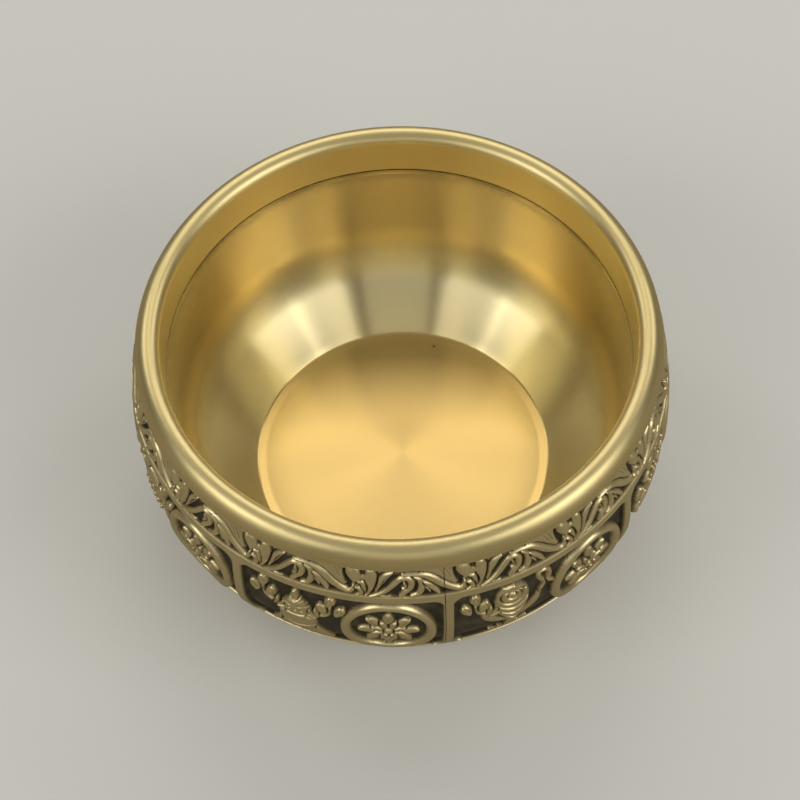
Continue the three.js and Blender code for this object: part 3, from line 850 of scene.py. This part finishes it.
def parasol(sheet):
    """A parasol: seven hanging folds under a dome with carved bands and beads, and a knob."""
    for share in (-3, 3, -2, 2, -1, 1, 0):
        x = share * 1.9
        fold = [(x * 0.8, 12.0, 0.9), (x * 1.1, 8.5, 1.05), (x * 1.45, 5.0, 1.1)]
        fold += [(x * 1.6, 2.4, 0.7), (x * 1.6, 1.2, 0.3)]
        stroke(sheet, fold, -0.4, 0.3)
    dome = [(9.6, 0.1), (10.2, 5.2), (13.0, 5.9), (16.5, 5.8)]
    dome += [(19.6, 5.3), (22.4, 4.4), (24.4, 3.3), (25.8, 0.1)]
    swell(sheet, 0, dome, 0.3, 0.45)
    for y, half in ((12.0, 5.7), (18.4, 5.4)):
        carve(sheet, [(-half, y + 0.8, 0.35), (0, y, 0.5), (half, y + 0.8, 0.35)], 1.1)
    for x in (-3.6, -1.8, 0, 1.8, 3.6):
        carve(sheet, [(x, 20.8 + 0.05 * x * x, 0.55), (x, 21.3 + 0.05 * x * x, 0.55)], 1.0)
    carve(sheet, [(-4.2, 23.6, 0.25), (0, 23.0, 0.3), (4.2, 23.6, 0.25)], 0.8)
    swell(sheet, 0, [(23.4, 3.3), (24.6, 2.9), (26.2, 2.0), (27.6, 1.3), (28.2, 0.1)], 0.45, 0.4)
    carve(sheet, [(-2.4, 25.8, 0.2), (0, 25.4, 0.25), (2.4, 25.8, 0.2)], 0.6)
    stroke(sheet, [(0, 27.6, 1.1), (0, 29.0, 1.25), (0, 30.4, 0.9), (0, 31.0, 0.4)], 0.35)
    for side in (-1, 1):
        bud_sprig(sheet, side, side * 10.0, 32.6)


def conch(sheet):
    """A conch: a swollen shell with a carved spiral and three carved arcs, on two wings."""
    stroke(sheet, [(0, 11.5, 2.2), (0.3, 8.5, 1.3), (0.2, 5.5, 1.0), (0, 3.4, 0.9)], -0.6)
    lotus_foot(sheet, 0.9, 6.0)
    wing = [(1.4, 11.0, 0.5), (5.4, 13.8, 1.6), (7.6, 17.0, 1.5), (8.2, 19.6, 0.6)]
    for side in (-1, 1):
        stroke(sheet, beside(wing, side), -0.7)
    shell = [(11.0, 0.9), (13.5, 2.4), (16.5, 4.2), (19.5, 5.2)]
    shell += [(24.0, 5.4), (27.5, 4.6), (30.0, 2.9), (31.4, 0.1)]
    swell(sheet, 0, shell, 0.4, 0.4)
    spiral = []
    for turn in np.radians(np.arange(0, 791, 20)):
        reach = 0.5 + 3.9 * turn / math.radians(790)
        x = reach * math.sin(turn)
        y = 27.2 - 0.6 * (reach - 0.5) + 0.95 * reach * math.cos(turn)
        spiral.append((x, y, 0.42))
    carve(sheet, spiral, 1.2)
    for y, half in ((20.4, 4.8), (17.4, 4.4), (14.6, 2.9)):
        carve(sheet, [(-half, y + 1.8, 0.35), (0, y - 0.6, 0.5), (half, y + 1.4, 0.35)], 1.2)
    bud_sprig(sheet, -1, -10.8, 32.2)
    ribbon_loop(sheet, 1, 13.2, 31.6)


def endless_knot(sheet):
    """An endless knot: three bands across three others, with loops round the outside."""
    middle = 17
    reach = 6.0
    low = middle - reach
    high = middle + reach
    for x in (-4.0, 0, 4.0):
        stroke(sheet, [(x - reach, low, 0.9), (x, middle, 0.95), (x + reach, high, 0.9)], -0.2, 0.35)
        stroke(sheet, [(x + reach, low, 0.9), (x, middle, 0.95), (x - reach, high, 0.9)], -0.2, 0.35)
    side_loop = [(9.6, 6.0, 0.9), (11.4, 3.2, 0.9), (9.8, 0.8, 0.6)]
    end_loop = [(2.2, 6.0, 0.9), (3.6, 9.4, 0.9), (0.6, 9.8, 0.7)]
    for side in (-1, 1):
        for up in (-1, 1):
            for loop in (side_loop, end_loop):
                stroke(sheet, [(side * x, middle + up * y, w) for x, y, w in loop], -0.3, 0.3)
    stroke(sheet, [(0, 27.4, 0.6), (0, 29.4, 1.5), (0, 31.6, 0.3)], -0.1)
    stroke(sheet, [(0, 6.4, 0.6), (-0.6, 4.0, 1.0), (0.4, 1.2, 0.3)], -0.4)
    for side in (-1, 1):
        ribbon_loop(sheet, side, side * 6.6, 31.4)


def banner(sheet):
    """A victory banner: a drum of carved bands and beads under a small roof, with streamers."""
    for x in (-4.8, -1.6, 1.6, 4.8):
        stroke(sheet, [(x * 0.9, 8.0, 1.1), (x, 4.6, 1.2), (x * 1.1, 1.8, 0.4)], -0.5, 0.3)
    swell(sheet, 0, [(7.0, 6.0), (24.0, 6.0)], -0.2, 0.4)
    for y in (8.6, 13.2, 17.8, 22.2):
        carve(sheet, [(-6.0, y + 0.5, 0.35), (0, y, 0.4), (6.0, y + 0.5, 0.35)], 0.9)
    for y in (10.9, 15.5, 20.0):
        for x in (-4.4, -2.2, 0, 2.2, 4.4):
            stroke(sheet, [(x, y - 0.3, 0.75), (x, y + 0.3, 0.75)], 0.1, 0.25)
    swell(sheet, 0, [(23.6, 6.8), (25.6, 6.2), (28.2, 3.0), (29.4, 0.8)], 0.0)
    carve(sheet, [(-6.2, 25.0, 0.3), (0, 24.5, 0.3), (6.2, 25.0, 0.3)], 0.8)
    stroke(sheet, [(0, 29.2, 0.9), (0, 31.0, 0.8), (0, 32.3, 0.2)], 0.1)
    streamer = [(8.0, 19.0, 0.4), (9.6, 15.0, 0.9), (8.8, 11.0, 0.8), (9.8, 7.4, 0.3)]
    for side in (-1, 1):
        bud_sprig(sheet, side, side * 10.2, 32.4)
        stroke(sheet, beside(streamer, side), -0.5)


def vase(sheet):
    """A treasure vase with carved bands, a row of beads and three leaves in its mouth."""
    lotus_foot(sheet, 0.9, 6.4)
    body = [(3.2, 3.0), (4.6, 2.2), (7.0, 4.2), (11.0, 6.4), (15.0, 6.9)]
    body += [(18.6, 5.4), (20.6, 3.0), (22.4, 2.3), (24.6, 3.6), (25.4, 3.9)]
    swell(sheet, 0, body, 0.0)
    for y, half in ((5.0, 2.6), (12.4, 6.6), (17.2, 6.2), (21.0, 2.8)):
        carve(sheet, [(-half, y + 0.5, 0.3), (0, y, 0.35), (half, y + 0.5, 0.3)], 0.8)
    for x in (-4.4, -2.2, 0, 2.2, 4.4):
        stroke(sheet, [(x, 14.2, 0.75), (x, 15.4, 0.75)], 0.2, 0.25)
    for side in (-1, 1):
        stroke(sheet, [(side * 0.6, 25.6, 0.4), (side * 2.6, 28.2, 1.0), (side * 2.2, 30.6, 0.3)], -0.3)
        ribbon_loop(sheet, side, side * 6.8, 30.0)
    stroke(sheet, [(0, 25.6, 0.7), (0, 28.8, 1.3), (0, 31.8, 0.3)], 0.0)


def lotus(sheet):
    """A lotus: nine veined petals on a stem with two low leaves."""
    stroke(sheet, [(0, 13.0, 1.0), (0.4, 9.0, 0.8), (-0.2, 5.0, 0.8), (0, 1.6, 0.6)], -0.7)
    leaf = [(0, 3.0, 0.4), (4.4, 5.4, 1.3), (8.2, 5.0, 1.2), (10.4, 3.4, 0.3)]
    leaf_vein = [(2.0, 4.2, 0.2), (9.0, 4.6, 0.2)]
    for side in (-1, 1):
        stroke(sheet, beside(leaf, side), -0.6)
        carve(sheet, beside(leaf_vein, side), 0.6)
    foot = 12.0
    petals = ((10.4, 17.4, 1.5), (8.6, 21.6, 1.8), (5.6, 25.8, 2.0), (2.6, 28.4, 2.0), (0, 29.6, 2.2))
    for lean, top, width in petals:
        rise = top - foot
        for side in (-1, 1) if lean else (1,):
            x = side * lean
            petal = [(x * 0.18, foot, 0.8), (x * 0.62, foot + rise * 0.45, width), (x, top, 0.2)]
            stroke(sheet, petal, -0.3, 0.3)
            carve(sheet, [(x * 0.3, 13.4, 0.2), (x * 0.9, foot + rise * 0.85, 0.15)], 0.5)
    for side in (-1, 1):
        bud_sprig(sheet, side, side * 10.2, 32.6)


def fishes(sheet):
    """Two fish that cross: each with a forked tail, a fin, carved scales and an eye."""
    body = [(4.4, 28.6, 0.9), (5.0, 25.0, 2.3), (4.4, 20.0, 2.5)]
    body += [(2.6, 14.4, 1.7), (-0.6, 9.4, 0.9), (-3.0, 6.6, 0.5)]
    fin = [(6.6, 22.0, 0.4), (9.0, 20.4, 0.9), (9.6, 17.6, 0.2)]
    eye = [(4.7, 26.6, 0.4), (4.8, 26.8, 0.4)]
    root = -2.4
    for side in (-1, 1):
        for out, down in ((-3.6, -1.2), (-1.2, -4.4), (-2.8, -3.2)):
            tail = [(root, 7.4, 0.4), (root + out, 7.4 + down * 0.7, 0.9)]
            tail += [(root + out * 1.4, 7.0 + down * 1.1, 0.2)]
            stroke(sheet, beside(tail, side), -0.6, 0.2)
        stroke(sheet, beside(body, side), -0.1, 0.4)
        stroke(sheet, beside(fin, side), -0.5, 0.3)
        for y in (16.0, 18.2, 20.4, 22.6):
            x = y * 0.22
            scale = [(x - 2.2, y + 0.6, 0.2), (x - 0.2, y - 0.4, 0.28), (x + 1.6, y + 0.6, 0.2)]
            carve(sheet, beside(scale, side), 0.55)
        carve(sheet, beside(eye, side), 0.9)
    for side in (-1, 1):
        ribbon_loop(sheet, side, side * 8.0, 31.6)


def wheel(sheet):
    """A wheel with eight spokes that end in knobs, a rim and a hub."""
    middle = 17.4
    length = 9.4
    lotus_foot(sheet, 0.9, 6.6)
    stroke(sheet, [(0, 7.6, 1.0), (0, 4.0, 1.2)], -0.5)
    for k in range(8):
        turn = math.radians(45 * k)
        x = length * math.sin(turn)
        y = length * math.cos(turn)
        knob = (x, middle + y, 0.95)
        stroke(sheet, [(0, middle, 0.6), (x * 0.85, middle + y * 0.85, 0.6), knob, knob], -0.4, 0.25)
    for radius, width, crest, groove, step in ((7.2, 0.95, -0.1, 0.3, 15), (2.0, 0.8, 0.0, 0.25, 30)):
        turns = np.radians(np.arange(0, 361, step))
        hoop = [(radius * math.sin(t), middle + radius * math.cos(t), width) for t in turns]
        stroke(sheet, hoop, crest, groove)
    stroke(sheet, [(0, middle - 0.2, 0.7), (0, middle + 0.2, 0.7)], 0.0, 0.2)
    for side in (-1, 1):
        ribbon_loop(sheet, side, side * 8.4, 31.4)


def medallion(sheet, centre):
    """The oval ring, and in it a flower of two rounds of petals with a button in the middle."""
    middle = PANEL_HEIGHT / 2
    half_wide = (MEDALLION_WIDTH - RING_WIDTH) / 2
    half_high = (MEDALLION_HEIGHT - RING_WIDTH) / 2
    X, Y, level = sheet
    x = (X - centre) / half_wide
    y = (Y - middle) / half_high
    reach = np.hypot(x, y)
    size = np.hypot(x * half_wide, y * half_high) / np.maximum(reach, 1e-6)
    q = np.abs(reach - 1) * size / (RING_WIDTH / 2)
    ring = TILE_FLOOR + RING_RISE * np.clip(1 - q * q, 0, 1) ** 0.42
    level[:] = np.where(q < 1, np.maximum(level, ring), level)
    petal_shape = ((0.25, 0.35), (0.62, 1.0), (0.86, 0.8), (1.0, 0.15))
    for start, length, width, crest in ((0, 8.4, 1.75, -0.55), (0.5, 5.0, 1.15, -0.25)):
        for k in range(PETALS):
            turn = math.tau * (k + start) / PETALS
            across = length * math.sin(turn)
            up = length * 1.08 * math.cos(turn)
            petal = [(across * share, up * share, width * w) for share, w in petal_shape]
            vein = [(across * 0.45, up * 0.45, 0.2), (across * 0.85, up * 0.85, 0.16)]
            stroke(sheet, turned_points(petal, -1, centre, middle), crest, 0.25)
            carve(sheet, turned_points(vein, -1, centre, middle), 0.45)
    stroke(sheet, [(centre, middle - 0.1, 1.5), (centre, middle + 0.1, 1.5)], -0.15, 0.3)


signs = [conch, endless_knot, fishes, vase, lotus, wheel, banner, parasol]
for bay, sign in enumerate(signs):
    rib = FIRST_RIB + bay * BAY_ANGLE
    sign_at = math.radians(SIGN_ANGLE) * (BELLY_RADIUS - PANEL_DEPTH)
    medallion_at = math.radians(MEDALLION_ANGLE - SIGN_ANGLE) * (BELLY_RADIUS - PANEL_DEPTH)
    X, Y = canvas(-sign_at + 1.5, BAY_LENGTH - sign_at - 1.5, 0.2, PANEL_HEIGHT - 0.2)
    sheet = (X, Y, np.full(X.shape, TILE_BASE))
    sign(sheet)
    medallion(sheet, medallion_at)
    level = blur(sheet[2], 1)
    # The cavity, how far a point lies below its blurred surroundings, paints shade into the narrow hollows on
    # top of the patina of the low ground.
    cavity = blur(level, 7) - level
    patina_and_shade = ease(-level + 1.8 * cavity, 0.5, 1.75)
    across = np.linspace(X[0, 0], X[0, -1], int(X.shape[1] / TILE_THINNING))
    up = np.linspace(Y[0, 0], Y[-1, 0], int(X.shape[0] / TILE_THINNING))
    U, V = np.meshgrid(across, up)
    angles = rib + np.degrees((across + sign_at) / (BELLY_RADIUS - PANEL_DEPTH))
    piece = relief_tile(
        f"bay_{bay + 1}",
        angles,
        PANEL_BOTTOM + up,
        sample((X, Y, level), U, V),
        sample((X, Y, patina_and_shade), U, V),
        PANEL_DEPTH + 0.7,
    )
    half = "relief_shell_right" if bay < 4 else "relief_shell_left"
    finish_piece(piece, half, relief_brass)

# Foot ring: a low turned brass ring with a cove under the belly. A short collar enters the
# shells and a ledge inside carries the base plate. Lightly darkened.
BORE_RADIUS = 50.6
FOOT_RADIUS = 55.6
SEAT_RADIUS = 59.8
FOOT_BAND = 2.4
SPIGOT_RADIUS = 51.8
SPIGOT_TOP = 7.5
LEDGE_HEIGHT = 3.5
LEDGE_WIDTH = 3.5


def rounded(points, radius, steps=4):
    """The closed profile with its corners rounded off by short curves."""
    out = []
    count = len(points)
    for i, corner in enumerate(points):
        corner = Vector(corner)
        before = Vector(points[i - 1]) - corner
        after = Vector(points[(i + 1) % count]) - corner
        cut = min(radius, before.length / 2.2, after.length / 2.2)
        if before.normalized().dot(after.normalized()) < -0.9 or corner.x < 1e-6:
            out.append(tuple(corner))
            continue
        first = corner + before.normalized() * cut
        last = corner + after.normalized() * cut
        for t in np.linspace(0, 1, steps + 1):
            out.append(tuple(first * (1 - t) ** 2 + corner * (2 * t * (1 - t)) + last * t**2))
    return out


foot_profile = [(BORE_RADIUS - LEDGE_WIDTH, 0), (FOOT_RADIUS, 0)]
foot_profile += arc((SEAT_RADIUS, FOOT_BAND), (FOOT_RADIUS - SEAT_RADIUS, FOOT_HEIGHT - FOOT_BAND), 0, 90, 12)
foot_profile += [
    (SPIGOT_RADIUS, FOOT_HEIGHT),
    (SPIGOT_RADIUS, SPIGOT_TOP),
    (BORE_RADIUS, SPIGOT_TOP),
    (BORE_RADIUS, LEDGE_HEIGHT),
    (BORE_RADIUS - LEDGE_WIDTH, LEDGE_HEIGHT),
]
foot = turned("foot", rounded(foot_profile, 0.3))
foot_brass = turned_brass(
    "foot_brass",
    pale=(0.34, 0.26, 0.12),
    deep=(0.26, 0.20, 0.09),
    roughness=0.42,
    spread=0.06,
    anisotropy=0.3,
    mark=0.3,
)
finish_piece(foot, "foot_ring", foot_brass)

# Base plate: a flat turned disc let into the foot ring and soldered there, which closes the
# bottom. Same darkened brass.
PLATE_RADIUS = 50.3
plate_profile = [(0, LEDGE_HEIGHT)] + [(r, LEDGE_HEIGHT) for r in (10, 24, 38)]
plate_profile += [(PLATE_RADIUS, LEDGE_HEIGHT), (PLATE_RADIUS, LINER_BOTTOM), (0, LINER_BOTTOM)]
plate = turned("base", plate_profile)
finish_piece(plate, "base_plate", foot_brass)

# Stage: a plain pale floor, white beyond it, soft lights and the photograph's camera. The
# brass sees the floor and the room darker and warmer than the camera does.
scene = bpy.context.scene
floor_mesh = bpy.data.meshes.new("floor")
bm = bmesh.new()
bmesh.ops.create_grid(bm, x_segments=1, y_segments=1, size=4)
bm.to_mesh(floor_mesh)
bm.free()
floor = bpy.data.objects.new("floor", floor_mesh)
scene.collection.objects.link(floor)
paper = bpy.data.materials.new("paper")
paper.use_nodes = True
sheet_shader = paper.node_tree.nodes["Principled BSDF"]
sheet_shader.inputs["Roughness"].default_value = 0.9
paper_rays = add(paper.node_tree, "ShaderNodeLightPath")
paper_tone = add(paper.node_tree, "ShaderNodeMix", data_type="RGBA")
paper_tone.inputs[6].default_value = (0.86, 0.88, 0.91, 1)
paper_tone.inputs[7].default_value = (0.33, 0.295, 0.235, 1)
paper.node_tree.links.new(paper_rays.outputs["Is Glossy Ray"], paper_tone.inputs[0])
paper.node_tree.links.new(paper_tone.outputs[2], sheet_shader.inputs["Base Color"])
floor_mesh.materials.append(paper)

world = bpy.data.worlds.new("room")
scene.world = world
world.use_nodes = True
room = world.node_tree
background = room.nodes["Background"]
background.inputs["Strength"].default_value = 1
rays = add(room, "ShaderNodeLightPath")
view = add(room, "ShaderNodeTexCoord")
height = add(room, "ShaderNodeSeparateXYZ")
room.links.new(view.outputs["Generated"], height.inputs[0])
sky = add(room, "ShaderNodeValToRGB")
sky.color_ramp.elements[0].position = 0.0
sky.color_ramp.elements[0].color = (0.10, 0.092, 0.08, 1)
sky.color_ramp.elements[1].position = 0.75
sky.color_ramp.elements[1].color = (0.12, 0.114, 0.10, 1)
overhead = sky.color_ramp.elements.new(0.97)
overhead.color = (0.32, 0.30, 0.255, 1)
room.links.new(height.outputs[2], sky.inputs[0])
shown = add(room, "ShaderNodeMix", data_type="RGBA")
shown.inputs[7].default_value = (0.93, 0.93, 0.93, 1)
room.links.new(rays.outputs["Is Camera Ray"], shown.inputs[0])
room.links.new(sky.outputs[0], shown.inputs[6])
room.links.new(shown.outputs[2], background.inputs["Color"])


def lamp(name, azimuth, elevation, distance, size, power, colour):
    """A soft light seen from the bowl at an azimuth from the front and an elevation in
    degrees, and a distance in metres."""
    data = bpy.data.lights.new(name, "AREA")
    data.shape = "RECTANGLE"
    data.size, data.size_y = size
    data.energy = power
    data.color = colour
    turn = math.radians(azimuth)
    rise = math.radians(elevation)
    aim = Vector((0, 0, 0.05))
    way = Vector((math.sin(turn) * math.cos(rise), -math.cos(turn) * math.cos(rise), math.sin(rise)))
    light = bpy.data.objects.new(name, data)
    light.location = aim + way * distance
    light.rotation_euler = (-way).to_track_quat("-Z", "Y").to_euler()
    scene.collection.objects.link(light)


# Each lamp: its place, its size in metres and its power in watts.
DAYLIGHT = (1, 0.96, 0.86)
GLOW = (1, 0.86, 0.62)
lamp("front", 0, 34, 1.25, (0.66, 0.56), 0.5, DAYLIGHT)
lamp("front_left", -42, 37, 1.2, (0.60, 0.54), 1.1, DAYLIGHT)
lamp("side_left", -68, 36, 1.2, (0.44, 0.54), 1.6, DAYLIGHT)
lamp("front_right", 42, 37, 1.2, (0.52, 0.54), 1.2, DAYLIGHT)
lamp("side_right", 68, 37, 1.2, (0.52, 0.54), 1.9, DAYLIGHT)
lamp("low_left", -58, 16, 1.2, (0.8, 0.44), 0.6, DAYLIGHT)
lamp("low_right", 60, 16, 1.2, (0.8, 0.44), 1.1, DAYLIGHT)
lamp("low_front", 0, 14, 1.3, (0.9, 0.30), 0.35, GLOW)
lamp("high_left", -92, 64, 1.2, (0.36, 0.34), 0.12, DAYLIGHT)
lamp("high_right", 94, 62, 1.2, (0.36, 0.34), 0.12, DAYLIGHT)
lamp("back", 180, 37, 1.2, (1.09, 0.50), 2.6, DAYLIGHT)
lamp("back_high", 180, 57, 1.2, (0.40, 0.28), 0.5, GLOW)
lamp("far_left", 230, 38, 1.2, (0.34, 0.50), 1.0, DAYLIGHT)
lamp("far_right", 130, 38, 1.2, (0.34, 0.50), 1.0, DAYLIGHT)

# The camera's angles in radians, its distance and aim in metres and its focal length in
# pixels, as fitted to the outlines of the rim, the crease, the floor and the rail.
ELEVATION = 0.966087
PITCH_ANGLE = 0.040863
ROLL = -0.036588
YAW = 0.0010156
DISTANCE = 0.518
AIM_HEIGHT = 0.0784
FOCAL_PIXELS = 1817.72
PICTURE_PIXELS = 800
SENSOR = 36
tilt = ELEVATION + PITCH_ANGLE
back = Vector((math.sin(YAW) * math.cos(tilt), -math.cos(YAW) * math.cos(tilt), math.sin(tilt)))
right = Vector((math.cos(YAW), math.sin(YAW), 0))
up = back.cross(right)
camera_x = math.cos(ROLL) * right + math.sin(ROLL) * up
camera_y = -math.sin(ROLL) * right + math.cos(ROLL) * up
camera_data = bpy.data.cameras.new("camera")
camera_data.lens = FOCAL_PIXELS / PICTURE_PIXELS * SENSOR
camera_data.sensor_width = SENSOR
camera_data.clip_start = 0.01
camera = bpy.data.objects.new("camera", camera_data)
turn = Matrix((camera_x, camera_y, back)).transposed().to_4x4()
stand = Vector((0, -math.cos(ELEVATION) * DISTANCE, math.sin(ELEVATION) * DISTANCE + AIM_HEIGHT))
camera.matrix_world = Matrix.Translation(stand) @ turn
scene.collection.objects.link(camera)
scene.camera = camera
scene.view_settings.view_transform = "Standard"
